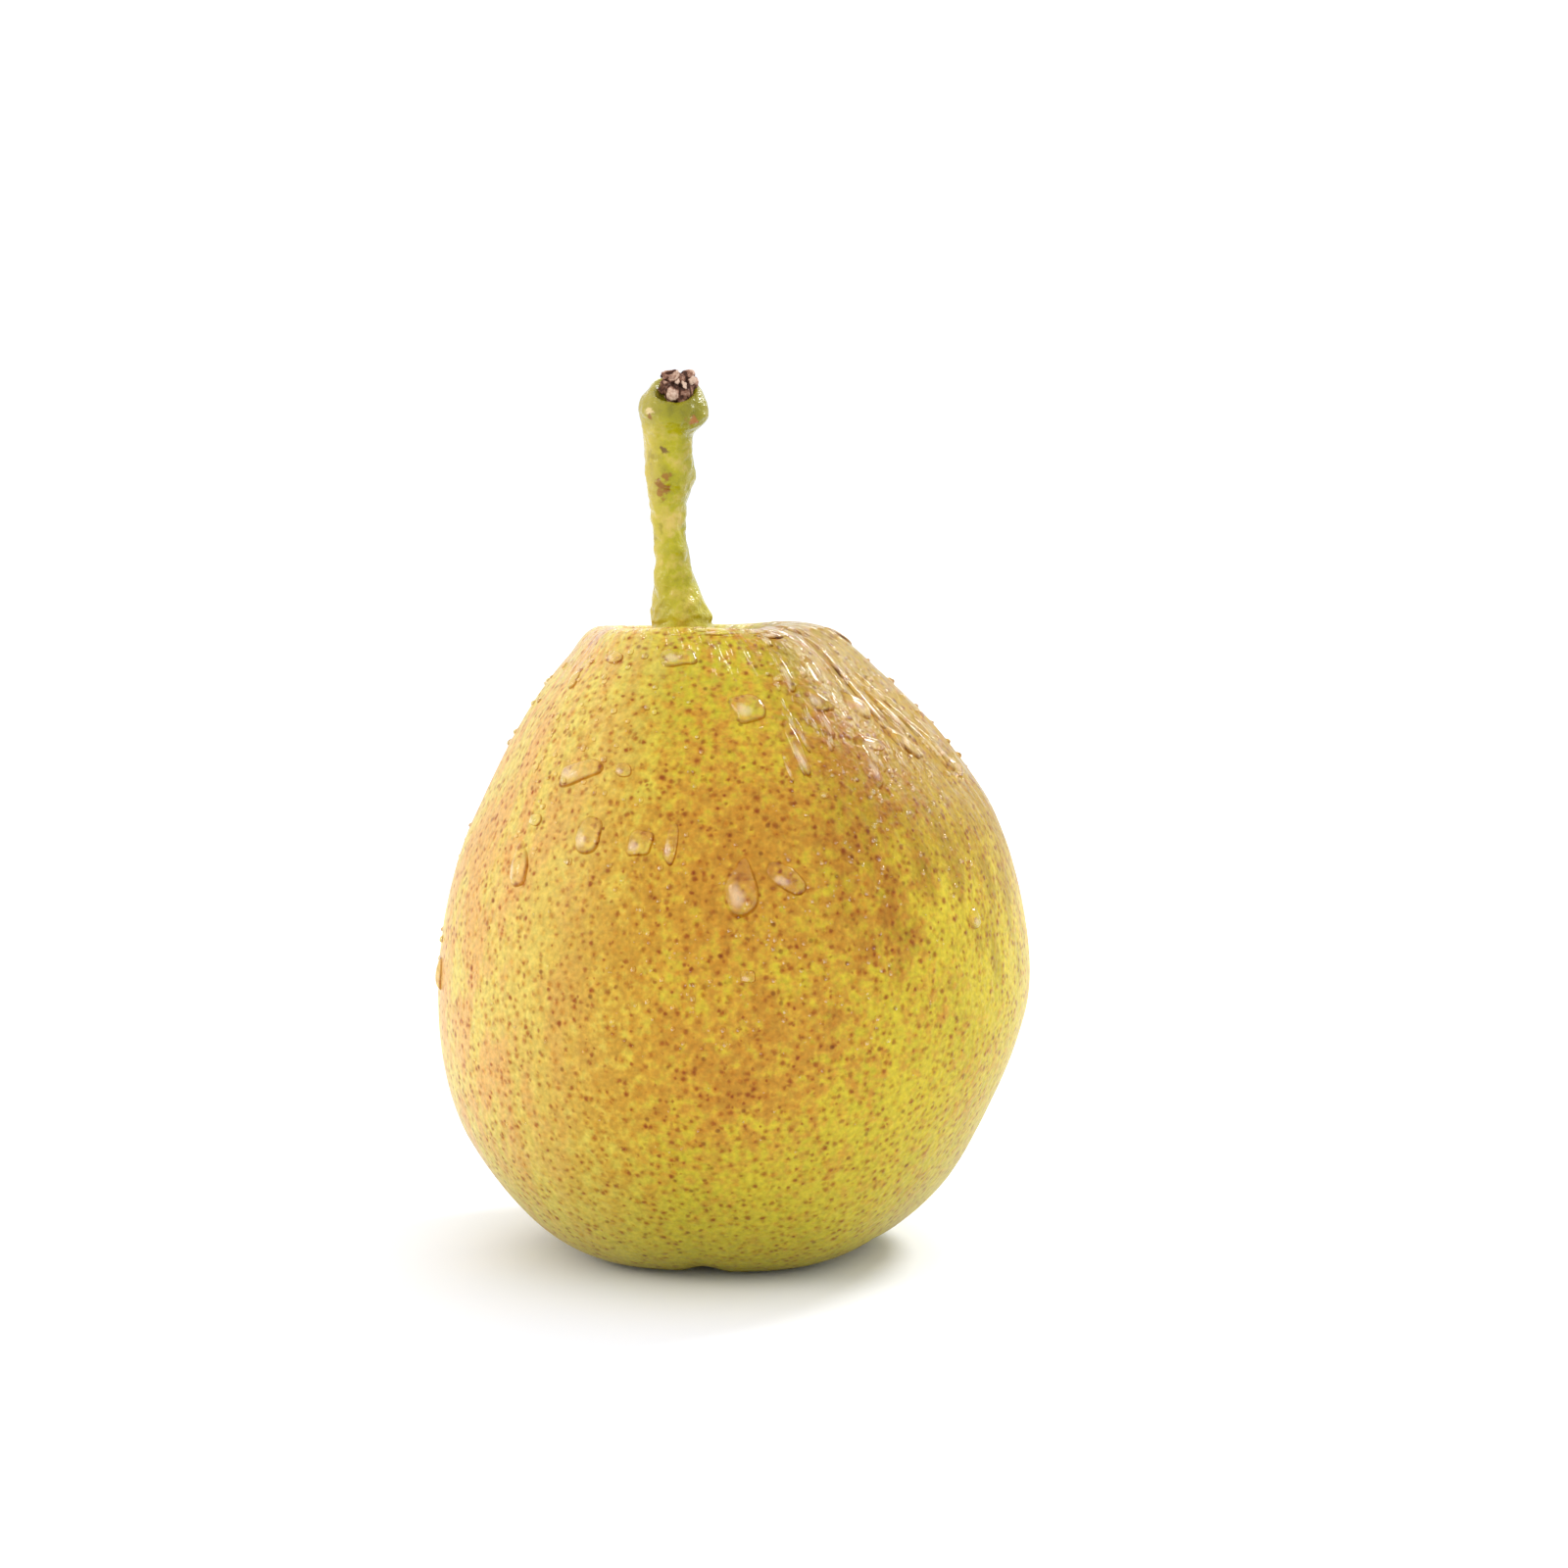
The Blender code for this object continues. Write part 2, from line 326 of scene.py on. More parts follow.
def skinPoint(turn, arc):
    # a point of the grown skin, in metres; turn is in radians and arc in millimetres
    radius, height = profileAt(arc)
    widest = pear["widestHeight"]
    lean = 0.0
    for much, start, end in (pear["topLean"], pear["lowLean"]):
        lean += much * ease((height - start) / (end - start))
    much, before, after = pear["rimShift"]
    lean += much * ease((arc - rimArc + before) / (before + after))
    nearEnd = ease(abs(height - widest) / widest)
    offMiddle = ease(radius / pear["footOuter"])
    groove = math.radians(pear["grooveTurn"])
    radius -= pear["lobeSwell"] * nearEnd * offMiddle * math.cos(pear["lobes"] * (turn - groove))
    if height > widest:
        start, full = pear["upperPart"]
        high = ease((height - start) / (full - start)) * offMiddle
        radius += high * (swellAt(turn, pear["ridge"]) + swellAt(turn, pear["valley"]))
        height -= pear["rimTilt"] * nearEnd * offMiddle * math.sin(turn)
        height += high * swellAt(turn, pear["backLobe"])
    else:
        # a groove runs in to the eye between each two lobes
        spacing = 2 * math.pi / pear["lobes"]
        off = min(turnGap(turn, groove + k * spacing) for k in range(pear["lobes"]))
        onFoot = ease(1 - abs(radius - pear["footOuter"]) / pear["footOuter"])
        inGroove = ease(1 - off / math.radians(pear["grooveHalfWidth"]))
        height += pear["grooveDepth"] * inGroove * onFoot
    point = Vector((radius * math.cos(turn) - lean, radius * math.sin(turn), height))
    outward = (point - Vector((0, 0, widest))).normalized()
    fade = ease(height / pear["calm"]) * ease(radius / pear["calm"])
    for length, much in pear["waves"]:
        point += outward * (much * fade * noise.noise(point / length))
    return point * mm


def skinFrame(turn, arc):
    # the point, the way out of the skin, the way round it and the way up it
    turnStep, arcStep = 0.01, 0.2
    point = skinPoint(turn, arc)
    around = (skinPoint(turn + turnStep, arc) - skinPoint(turn - turnStep, arc)).normalized()
    upward = (skinPoint(turn, arc + arcStep) - skinPoint(turn, arc - arcStep)).normalized()
    return point, around.cross(upward).normalized(), around, upward


def arcAtHeight(height):
    # the place on the outer wall, between foot and rim, at a height
    wall = [row for row in profile if row[0] <= rimArc and row[1] > pear["footInner"]]
    return min(wall, key=lambda row: abs(row[2] - height))[0]


def pearMesh():
    sides = pear["sides"]
    rings = round(skinLength / pear["step"])
    girth = pear["growthRadius"] * mm
    model = bmesh.new()
    growth = model.verts.layers.float_vector.new("growth")
    stemward = model.verts.layers.float.new("stemward")
    rows = []
    for ring in range(rings + 1):
        arc = skinLength * ring / rings
        row = []
        for side in range(1 if ring in (0, rings) else sides):
            turn = 2 * math.pi * side / sides
            vert = model.verts.new(skinPoint(turn, arc))
            vert[growth] = Vector((girth * math.cos(turn), girth * math.sin(turn), arc * mm))
            vert[stemward] = arc / skinLength
            row.append(vert)
        rows.append(row)
    wrapRings(model, rows)
    return newMesh("pearSkin", model)


# ---- the skin's finish ----
skin = {
    "ground": "#c2ae2c",           # ripe yellow ground
    "green": "#aea622",            # where it ripened last
    "low": "#9e9426",              # duller toward the eye
    "pale": "#d8c468",             # paler left side: painted light from the left
    "peach": "#dbae6a",            # and the warmer patches on it
    "blush": "#bf902e",
    "deepBlush": "#b27e24",
    "speckTint": "#ca8e76",        # rusty, laid over the skin and not mixed with it
    "haloTint": "#f0dab8",
    "darkTint": "#a47a58",
    "wetAndShadeTint": "#d6c0a0",          # skin is darker and greyer where wet: partly real wet skin, partly painted shade on the upper right shoulder
    "russet": "#74501f",
    "blushTurn": -111,             # the side that faced the sun
    "blushWidens": 0.007,          # and how fast the blush widens toward the stem, for each mm
    "blushEdge": (0.72, 1.35),     # where it starts and where it is full: 1 faces that side
    # painted light: the skin is paler toward the left, where the key light falls
    "paleLitLeft": (-3, -27),         # sideways, where it starts and where it is full
    "wetTurn": -16,                # water ran down this shoulder
    "wetEdge": (0.42, 0.85),
    "wetRim": (0.79, 0.84),        # and lies round the rim and in the hollow, as shares below
    "streakWidth": 3.6,            # this and the next ones are the sizes of the patterns
    "patchWidth": 14,
    "mottle": 1.3,
    "grain": 0.5,
    "speckSpacing": 0.86,
    "dotSpacing": 2.4,
    "poreSpacing": 0.6,
    "flakeSize": 0.9,              # of the russet
    "filmWidth": 1.1,
    # each of these is a share of the way from eye to stem, and how strong it is there
    "blushUpward": ((0.16, "#000000"), (0.27, "#909090"), (0.42, "#f0f0f0"), (0.66, "#ffffff"),
                    (0.80, "#808080")),
    "greenUpward": ((0.04, "#c0c0c0"), (0.22, "#808080"), (0.45, "#404040"), (0.70, "#404040"),
                    (0.88, "#c0c0c0")),
    "russetUpward": ((0.0, "#ffffff"), (0.055, "#a0a0a0"), (0.085, "#000000"), (0.895, "#000000"),
                     (0.97, "#b0b0b0")),
    "wetUpward": ((0.50, "#000000"), (0.62, "#606060"), (0.71, "#ffffff"), (0.90, "#ffffff")),
}


def wayTo(turn, widens=0.0):
    # its dot product with the growth coordinates is 1 where the skin faces this turn
    turn = math.radians(turn)
    girth = pear["growthRadius"] * mm
    return math.cos(turn) / girth, math.sin(turn) / girth, widens / mm


def skinMaterial():
    # waxy fruit skin, grown and rinsed: soft broad shine over mottled, speckled colour
    material, tree, shader = newMaterial("waxy pear skin", {
        "Roughness": 0.42, "IOR": 1.40, "Specular IOR Level": 0.22, "Subsurface Weight": 0.08,
        "Subsurface Radius": (1.0, 0.5, 0.15), "Subsurface Scale": 1.2 * mm,
        "Coat IOR": 1.33, "Coat Roughness": 0.08})
    place = addNode(tree, "TexCoord").outputs["Object"]
    growth = addNode(tree, "Attribute", {"attribute_name": "growth"}).outputs["Vector"]
    stemward = addNode(tree, "Attribute", {"attribute_name": "stemward"}).outputs["Fac"]

    # how much the skin faces the sunny side
    sunWay = wayTo(skin["blushTurn"], skin["blushWidens"])
    facing = addNode(tree, "VectorMath", {"operation": "DOT_PRODUCT", 1: sunWay}, {0: growth})
    sunny = addNode(tree, "MapRange", {"smooth": skin["blushEdge"]},
                    {"Value": facing.outputs["Value"]})
    # streaks run along the growth lines, from stem to eye
    lengthwise = addNode(tree, "VectorMath", {"operation": "MULTIPLY", 1: (1, 1, 0.45)},
                         {0: growth})
    streaks = addNode(tree, "TexNoise", {"size": skin["streakWidth"], "Detail": 3.0,
                                         "Roughness": 0.6}, {"Vector": lengthwise})
    patches = addNode(tree, "TexNoise", {"size": skin["patchWidth"], "Detail": 2.0},
                      {"Vector": place})
    upward = addNode(tree, "ValToRGB", {"stops": skin["blushUpward"]}, {"Fac": stemward})
    blush = addNode(tree, "Math", {"operation": "MULTIPLY"}, {0: sunny, 1: upward})
    uneven = addNode(tree, "Math", {"operation": "ADD"}, {0: streaks, 1: patches})
    uneven = addNode(tree, "MapRange", {"range": (0.72, 1.28, -0.38, 0.34)}, {"Value": uneven})
    blush = addNode(tree, "Math", {"operation": "ADD"}, {0: blush, 1: uneven})

    # the blush is made of small blots that join where it is strong
    blots = addNode(tree, "TexNoise", {"size": skin["mottle"], "Detail": 2.0,
                                       "Roughness": 0.6}, {"Vector": place})
    blots = addNode(tree, "MapRange", {"range": (0.3, 0.7, -0.6, 0.6)}, {"Value": blots})
    blotted = addNode(tree, "Math", {"operation": "ADD"}, {0: blush, 1: blots})
    blushMask = addNode(tree, "MapRange", {"smooth": (-0.1, 0.95)}, {"Value": blotted})

    # ground colour: greener near the stem and the eye; on the left, pale and peach patches, painted
    # paler by light from the left
    upward = addNode(tree, "ValToRGB", {"stops": skin["greenUpward"]}, {"Fac": stemward})
    patchy = addNode(tree, "MapRange", {"range": (0.3, 0.7, -0.5, 0.5)}, {"Value": streaks})
    greener = addNode(tree, "Math", {"operation": "ADD", "use_clamp": True}, {0: upward, 1: patchy})
    ground = addNode(tree, "Mix", {6: skin["ground"], 7: skin["green"]}, {0: greener})
    leftward = addNode(tree, "SeparateXYZ", None, {0: growth})
    start, full = skin["paleLitLeft"]
    leftLightMask = addNode(tree, "MapRange", {"smooth": (start * mm, full * mm, 0.0, 0.95)},
                     {"Value": leftward})
    warmer = addNode(tree, "MapRange", {"smooth": (0.40, 0.60)}, {"Value": streaks})
    paleLitLeft = addNode(tree, "Mix", {6: skin["pale"], 7: skin["peach"]}, {0: warmer})
    ground = addNode(tree, "Mix", None, {0: leftLightMask, 6: ground, 7: paleLitLeft})
    # the blush over it, weaker where light from the left is painted on, and all of it duller low
    # down
    deep = addNode(tree, "MapRange", {"smooth": (0.5, 1.4)}, {"Value": blotted})
    red = addNode(tree, "Mix", {6: skin["blush"], 7: skin["deepBlush"]}, {0: deep})
    awayFromLeftLight = addNode(tree, "Math", {"operation": "MULTIPLY_ADD", 1: -0.85, 2: 1.0}, {0: leftLightMask})
    blushMask = addNode(tree, "Math", {"operation": "MULTIPLY"}, {0: blushMask, 1: awayFromLeftLight})
    colour = addNode(tree, "Mix", None, {0: blushMask, 6: ground, 7: red})
    dull = addNode(tree, "MapRange", {"smooth": (0.42, 0.14, 0.0, 0.8)}, {"Value": stemward})
    colour = addNode(tree, "Mix", {7: skin["low"]}, {0: dull, 6: colour})

    # light and dark grain all over
    grain = addNode(tree, "TexNoise", {"size": skin["grain"], "Detail": 2.0}, {"Vector": place})
    light = addNode(tree, "MapRange", {"range": (0.3, 0.7, 0.84, 1.16)}, {"Value": grain})
    colour = addNode(tree, "Mix", {"blend_type": "MULTIPLY", 0: 1.0}, {6: colour, 7: light})

    # corky specks: breathing pores, ragged and each its own size, in a soft rusty halo
    specks = addNode(tree, "TexVoronoi", {"size": skin["speckSpacing"]}, {"Vector": place})
    own = addNode(tree, "SeparateXYZ", None, {0: specks.outputs["Color"]})
    ragged = addNode(tree, "Math", {"operation": "MULTIPLY_ADD", 1: 0.55}, {0: grain, 2: specks})
    ownEdge = addNode(tree, "MapRange", {"range": (0.0, 1.0, 0.52, 0.84)},
                      {"Value": own.outputs["X"]})
    speck = addNode(tree, "MapRange", {"smooth": (0.30, 1.0, 1.0, 0.0)},
                    {"Value": ragged, "From Max": ownEdge})
    strength = addNode(tree, "MapRange", {"range": (0.0, 1.0, 0.5, 1.0)},
                       {"Value": own.outputs["Y"]})
    speckHere = addNode(tree, "Math", {"operation": "MULTIPLY"}, {0: speck, 1: strength})
    halo = addNode(tree, "MapRange", {"smooth": (0.15, 0.75, 1.0, 0.0)}, {"Value": specks})
    haloHere = addNode(tree, "Math", {"operation": "MULTIPLY"}, {0: halo, 1: own.outputs["Z"]})
    dots = addNode(tree, "TexVoronoi", {"size": skin["dotSpacing"]}, {"Vector": place})
    dotHere = addNode(tree, "MapRange", {"smooth": (0.05, 0.15, 0.7, 0.0)}, {"Value": dots})
    for tint, here in (("haloTint", haloHere), ("speckTint", speckHere), ("darkTint", dotHere)):
        colour = addNode(tree, "Mix", {"blend_type": "MULTIPLY", 7: skin[tint]},
                         {0: here, 6: colour})

    # russet in the stem hollow and round the eye
    upward = addNode(tree, "ValToRGB", {"stops": skin["russetUpward"]}, {"Fac": stemward})
    flakes = addNode(tree, "TexNoise", {"size": skin["flakeSize"], "Detail": 4.0},
                     {"Vector": place})
    flakes = addNode(tree, "MapRange", {"range": (0.4, 0.6)}, {"Value": flakes})
    rusty = addNode(tree, "Math", {"operation": "MULTIPLY"}, {0: upward, 1: flakes})
    colour = addNode(tree, "Mix", {7: skin["russet"]}, {0: rusty, 6: colour})

    # water ran down the shoulder, and the skin is darker under it: partly real wet skin, partly
    # painted shade on the upper right
    wetWay = wayTo(skin["wetTurn"])
    wetSide = addNode(tree, "VectorMath", {"operation": "DOT_PRODUCT", 1: wetWay}, {0: growth})
    wetSide = addNode(tree, "MapRange", {"smooth": skin["wetEdge"]},
                      {"Value": wetSide.outputs["Value"]})
    dampAndShade = addNode(tree, "Math", {"operation": "MULTIPLY_ADD", 1: 0.45}, {0: streaks, 2: stemward})
    dampAndShade = addNode(tree, "MapRange", {"smooth": (0.72, 0.90)}, {"Value": dampAndShade})
    dampAndShade = addNode(tree, "Math", {"operation": "MULTIPLY"}, {0: wetSide, 1: dampAndShade})
    colour = addNode(tree, "Mix", {"blend_type": "MULTIPLY", 7: skin["wetAndShadeTint"]},
                     {0: dampAndShade, 6: colour})
    # and a film of it shines there in streaks, and in the hollow
    upward = addNode(tree, "ValToRGB", {"stops": skin["wetUpward"]}, {"Fac": stemward})
    wetArea = addNode(tree, "Math", {"operation": "MULTIPLY"}, {0: wetSide, 1: upward})
    rimWet = addNode(tree, "MapRange", {"smooth": skin["wetRim"]}, {"Value": stemward})
    wetArea = addNode(tree, "Math", {"operation": "MAXIMUM"}, {0: wetArea, 1: rimWet})
    runs = addNode(tree, "VectorMath", {"operation": "MULTIPLY", 1: (1, 1, 0.3)}, {0: growth})
    film = addNode(tree, "TexNoise", {"size": skin["filmWidth"], "Detail": 2.0}, {"Vector": runs})
    film = addNode(tree, "MapRange", {"smooth": (0.47, 0.60)}, {"Value": film})
    filmHere = addNode(tree, "Math", {"operation": "MULTIPLY"}, {0: film, 1: wetArea})
    coat = addNode(tree, "MapRange", {"range": (0.0, 1.0, 0.08, 1.0)}, {"Value": filmHere})

    pores = addNode(tree, "TexNoise", {"size": skin["poreSpacing"], "Detail": 2.0},
                    {"Vector": place})
    poreBump = addNode(tree, "Bump", {"Strength": 0.5, "Distance": 0.08 * mm}, {"Height": pores})
    blotBump = addNode(tree, "Bump", {"Strength": 0.6, "Distance": 0.12 * mm},
                       {"Height": blots, "Normal": poreBump})
    speckBump = addNode(tree, "Bump", {"Strength": 0.6, "Distance": 0.06 * mm},
                        {"Height": speck, "Normal": blotBump})
    filmBump = addNode(tree, "Bump", {"Strength": 1.0, "Distance": 0.22 * mm},
                       {"Height": filmHere, "Normal": poreBump})
    feed(tree, shader, {"Base Color": colour, "Normal": speckBump,
                        "Coat Weight": coat, "Coat Normal": filmBump})
    return material


# ---- the stem ----
stem = {
    "route": (
        # height, sideways, radius
        (60.9, -4.8, 3.60), (63.6, -5.0, 3.35), (66.3, -5.5, 3.10), (69.3, -5.9, 2.50),
        (72.2, -6.4, 1.90), (75.5, -6.7, 1.68), (78.2, -6.85, 1.90), (80.9, -6.65, 2.42),
        (83.6, -6.75, 2.50), (85.4, -6.9, 2.56), (86.8, -6.6, 2.95), (88.2, -6.4, 3.25),
        (89.4, -6.3, 3.15), (90.3, -6.1, 2.60),
    ),
    # from there the crown turns in to the socket that holds the cork: share of the radius, drop
    "crown": ((0.85, -0.15), (0.72, 0.05), (0.62, 0.5), (0.5, 0.8)),
    "knobs": (
        # height, turn, reach, swell
        (88.3, -12, 2.9, 0.45), (88.4, 172, 1.8, 0.30), (88.8, -44, 1.0, -0.40),
        (87.2, -14, 1.7, 0.28), (88.6, -140, 0.6, 0.25), (84.6, -35, 1.6, 0.30),
        (81.6, 10, 1.5, 0.35), (79.4, 150, 1.5, 0.25), (86.4, -120, 1.2, 0.25),
        (74.0, -60, 1.6, 0.22), (70.6, -140, 1.6, 0.25), (68.2, -70, 1.4, 0.30),
        (67.2, -5, 1.3, 0.35), (77.2, -95, 1.2, -0.20), (85.9, -80, 1.0, -0.22),
    ),
    "ripples": ((3.0, 0.20), (1.2, 0.16), (0.6, 0.07)),   # lumpiness: how long, how high
    "creases": (67.0, 2.5, 1.5, 0.07),   # wrinkles at the foot: height, reach, spacing, depth
    "creaseWander": (2.0, 1.6),      # how long, how far
    "faceTilt": (0.55, 85.5, 5.0),   # the end slopes down to the front: slope, from, full after
    "sides": 72,
    "rings": 230,
    "green": "#9e9608",
    "bright": "#aca406",
    "shade": "#7a7206",
    # the palest green, also laid on the stem's left side as painted light
    "sunny": "#ccb458",
    "head": "#7d7a0c",
    "foot": "#d0c240",
    "scar": "#8f7c24",
    "washes": (
        # along which way, from, full at, how strong, colour
        # painted light: paler toward the left side
        ("X", -6.4, -9.6, 0.75, "sunny"),
        ("Z", 85.2, 88.5, 0.5, "head"),
        ("Z", 71, 66, 0.4, "foot"),
    ),
    "paintedShadeFrom": (-6.2, -4.4, 69, 74),   # painted shade on the right side: sideways and height, as above
    "marks": (
        # sideways, front to back, height, reach, colour
        (-7.05, -2.35, 81.7, 0.70, "#96661a"), (-7.4, -2.3, 80.7, 1.0, "#8a5614"),
        (-7.6, -2.2, 79.8, 0.80, "#96661a"), (-7.15, -2.5, 84.3, 0.55, "#6c4c1c"),
        (-4.1, -2.8, 87.5, 0.90, "#a4642c"), (-4.4, -2.9, 88.5, 0.60, "#d8d098"),
        # the pale spot on the left blister is partly a painted highlight
        (-8.8, -2.3, 88.5, 0.65, "#d8c088"), (-8.7, -2.5, 87.8, 0.45, "#8a5c26"),
    ),
}


def smoothRoute(rows, share):
    # a smooth curve through the rows, share from 0 to 1 (Catmull-Rom)
    place = share * (len(rows) - 1)
    k = min(int(place), len(rows) - 2)
    t = place - k
    before, start = rows[max(k - 1, 0)], rows[k]
    end, after = rows[k + 1], rows[min(k + 2, len(rows) - 1)]
    return [0.5 * (2 * b + (c - a) * t + (2 * a - 5 * b + 4 * c - d) * t * t
                   + (3 * b - a - 3 * c + d) * t * t * t)
            for a, b, c, d in zip(before, start, end, after)]


def closedTube(rows):
    # rows are rings of points; both ends are closed on their middle
    model = bmesh.new()
    rings = [[model.verts.new(point) for point in row] for row in rows]
    start, end = ([model.verts.new(sum((vert.co for vert in ring), Vector()) / len(ring))]
                  for ring in (rings[0], rings[-1]))
    wrapRings(model, [start, *rings, end])
    return model


def stemMesh():
    sides = stem["sides"]
    creaseHeight, creaseReach, spacing, depth = stem["creases"]
    wanderLength, wander = stem["creaseWander"]
    slope, slopeFrom, slopeOver = stem["faceTilt"]
    rows = []
    for ring in range(stem["rings"] + 1):
        height, sideways, radius = smoothRoute(stem["route"], ring / stem["rings"])
        row = []
        for side in range(sides):
            turn = 2 * math.pi * side / sides
            out = Vector((math.cos(turn), math.sin(turn), 0))
            point = Vector((sideways, 0, height)) + out * radius
            push = sum(much * noise.noise(point / length) for length, much in stem["ripples"])
            for knobHeight, knobTurn, reach, swell in stem["knobs"]:
                off = math.hypot((height - knobHeight) / reach,
                                 radius * turnGap(turn, math.radians(knobTurn)) / reach)
                push += swell * ease(1 - off)
            wave = 2 * math.pi * (height + wander * noise.noise(point / wanderLength)) / spacing
            push -= depth * ease(1 - abs(height - creaseHeight) / creaseReach) * math.sin(wave)
            point += out * push
            point.z += slope * point.y * ease((height - slopeFrom) / slopeOver)
            row.append(point * mm)
        rows.append(row)
    crown = rows[-1]
    middle = sum(crown, Vector()) / sides
    for share, drop in stem["crown"]:
        down = Vector((0, 0, drop * mm))
        rows.append([middle + (point - middle) * share - down for point in crown])
    return newMesh("stemFlesh", closedTube(rows))


def stemMaterial():
    # fleshy green stem, lumpy and wet: a clear shine over satin, with small dry scars
    material, tree, shader = newMaterial("fleshy pear stem", {
        "Roughness": 0.36, "IOR": 1.45, "Specular IOR Level": 0.25, "Subsurface Weight": 0.1,
        "Subsurface Radius": (0.7, 0.9, 0.2), "Subsurface Scale": 1.2 * mm,
        "Coat Weight": 0.7, "Coat IOR": 1.33, "Coat Roughness": 0.1})
    place = addNode(tree, "TexCoord").outputs["Object"]
    broad = addNode(tree, "TexNoise", {"size": 4, "Detail": 3.0}, {"Vector": place})
    fine = addNode(tree, "TexNoise", {"size": 0.7, "Detail": 3.0}, {"Vector": place})
    both = addNode(tree, "Math", {"operation": "MULTIPLY_ADD", 1: 0.45}, {0: fine, 2: broad})
    colour = addNode(tree, "ValToRGB", {"stops": (
        (0.45, stem["shade"]), (0.62, stem["green"]), (0.75, stem["bright"]),
        (0.95, stem["sunny"]))}, {"Fac": both})
    # paler on its left side, painted light from the left; darker on the head, paler where it
    # spreads at the foot
    ways = addNode(tree, "SeparateXYZ", None, {0: place})
    for way, start, full, strength, tint in stem["washes"]:
        here = addNode(tree, "MapRange", {"smooth": (start * mm, full * mm, 0.0, strength)},
                       {"Value": ways.outputs[way]})
        colour = addNode(tree, "Mix", {7: stem[tint]}, {0: here, 6: colour})
    # painted shade down the stem's right side, above the foot
    left, right, low, high = (edge * mm for edge in stem["paintedShadeFrom"])
    paintedShade = addNode(tree, "MapRange", {"smooth": (left, right, 0.0, 0.55)},
                     {"Value": ways.outputs["X"]})
    above = addNode(tree, "MapRange", {"smooth": (low, high)}, {"Value": ways.outputs["Z"]})
    paintedShade = addNode(tree, "Math", {"operation": "MULTIPLY"}, {0: paintedShade, 1: above})
    colour = addNode(tree, "Mix", {7: stem["shade"]}, {0: paintedShade, 6: colour})
    # dry scars, long way up the stem
    drawn = addNode(tree, "VectorMath", {"operation": "MULTIPLY", 1: (1, 1, 0.45)}, {0: place})
    scars = addNode(tree, "TexVoronoi", {"size": 2.6}, {"Vector": drawn})
    ragged = addNode(tree, "Math", {"operation": "MULTIPLY_ADD", 1: 0.60}, {0: fine, 2: scars})
    scarMask = addNode(tree, "MapRange", {"smooth": (0.32, 0.44, 0.5, 0.0)}, {"Value": ragged})
    colour = addNode(tree, "Mix", {7: stem["scar"]}, {0: scarMask, 6: colour})
    # healed nicks and blisters, each in its own place; the pale spot on the left blister is partly
    # a painted highlight
    for sideways, depth, height, reach, tint in stem["marks"]:
        middle = (sideways * mm, depth * mm, height * mm)
        away = addNode(tree, "VectorMath", {"operation": "DISTANCE", 1: middle}, {0: place})
        away = addNode(tree, "MapRange", {"From Max": reach * mm, "clamp": False},
                       {"Value": away.outputs["Value"]})
        away = addNode(tree, "Math", {"operation": "MULTIPLY_ADD", 1: 2.4}, {0: fine, 2: away})
        here = addNode(tree, "MapRange", {"smooth": (1.6, 2.1, 0.9, 0.0)}, {"Value": away})
        colour = addNode(tree, "Mix", {7: tint}, {0: here, 6: colour})
    bump = addNode(tree, "Bump", {"Strength": 1.0, "Distance": 0.22 * mm}, {"Height": fine})
    scarBump = addNode(tree, "Bump", {"Strength": 0.5, "Distance": 0.10 * mm},
                       {"Height": scarMask, "Normal": bump})
    feed(tree, shader, {"Base Color": colour, "Normal": scarBump, "Coat Normal": bump})
    return material


# ---- the dry end of the stem ----
cork = {
    "radius": 2.1,
    "height": 2.9,
    "middle": (-5.85, 90.65),      # sideways and height
    "tilt": 30.0,
    "squareness": 0.5,             # 1 for a round plug, less for a flat-topped one
    "chip": 1.25,                  # size of the crumbs it has split into
    "chipRise": 0.60,
    "crackWidth": 0.3,
    "crackDepth": 0.25,
    "crags": ((1.3, 0.55), (0.35, 0.12)),   # roughness: how long, how high
    "loose": 7,                    # crumbs standing up from the top
    "looseSize": ((0.2, 0.45), (0.15, 0.3), (0.25, 0.5)),
    "sides": 120,
    "rings": 90,
    "seed": 4,
    "tones": ((0.06, "#462a1e"), (0.26, "#7a513e"), (0.48, "#a27c68"), (0.78, "#d4b8a2")),
}


